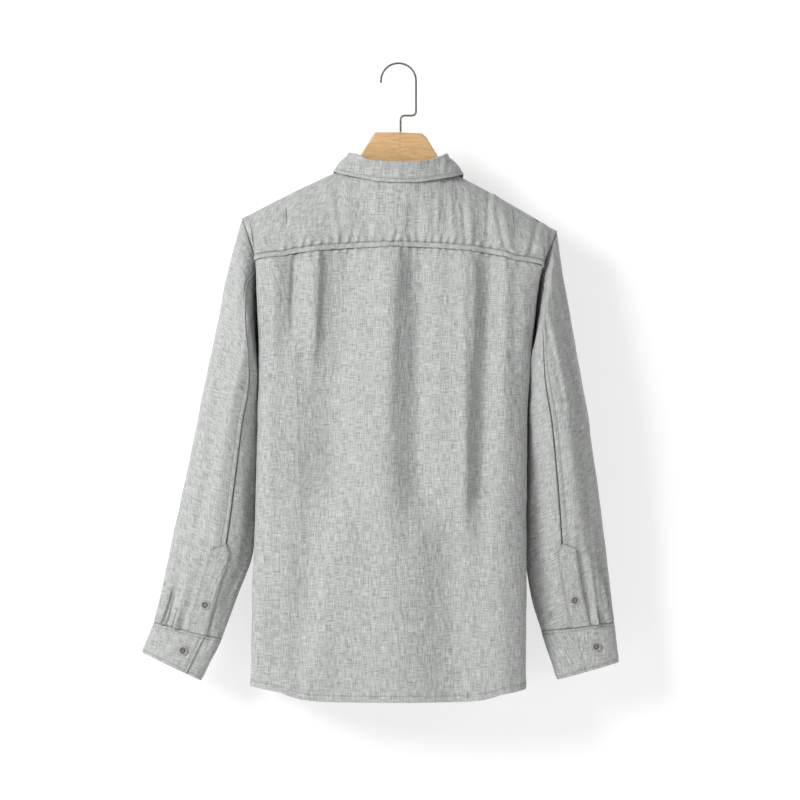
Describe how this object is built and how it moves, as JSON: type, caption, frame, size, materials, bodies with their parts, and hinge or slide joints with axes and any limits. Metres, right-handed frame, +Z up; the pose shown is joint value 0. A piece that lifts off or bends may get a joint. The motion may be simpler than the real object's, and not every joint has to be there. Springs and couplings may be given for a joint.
{
  "type": "long-sleeved linen shirt on a clothes hanger",
  "caption": "Buttoned long-sleeved linen shirt with turned-down collar, back yoke and tower sleeve plackets, hanging flat on a wooden hanger with a wire hook.",
  "frame": {"origin": "inside top of the hanger's hook, where a rail bears, in the middle of the wire", "axes": "+X to the wearer's right, +Y out of the shirt's buttoned front, +Z up"},
  "size_m": [0.6777, 0.1608, 0.9058],
  "materials": {
    "linen": "matt plain-weave linen, washed",
    "button": "satin",
    "wood": "satin varnished beech",
    "hook": "plated wire"
  },
  "bodies": {
    "root": {"back_panel": "linen", "back_yoke": "linen", "collar_button": "button", "collar_leaf": "linen", "collar_stand": "linen", "cuff_button_left": "button", "cuff_button_right": "button", "cuff_left": "linen", "cuff_right": "linen", "front_button_1": "button", "front_button_2": "button", "front_button_3": "button", "front_button_4": "button", "front_button_5": "button", "front_button_6": "button", "front_button_7": "button", "front_left": "linen", "front_placket": "linen", "front_right": "linen", "hanger_arm_left": "wood", "hanger_arm_right": "wood", "hanger_hook": "hook", "sleeve_button_left": "button", "sleeve_button_right": "button", "sleeve_placket_left": "linen", "sleeve_placket_right": "linen", "sleeve_top_left": "linen", "sleeve_top_right": "linen", "sleeve_under_left": "linen", "sleeve_under_right": "linen"}
  },
  "joints": []
}
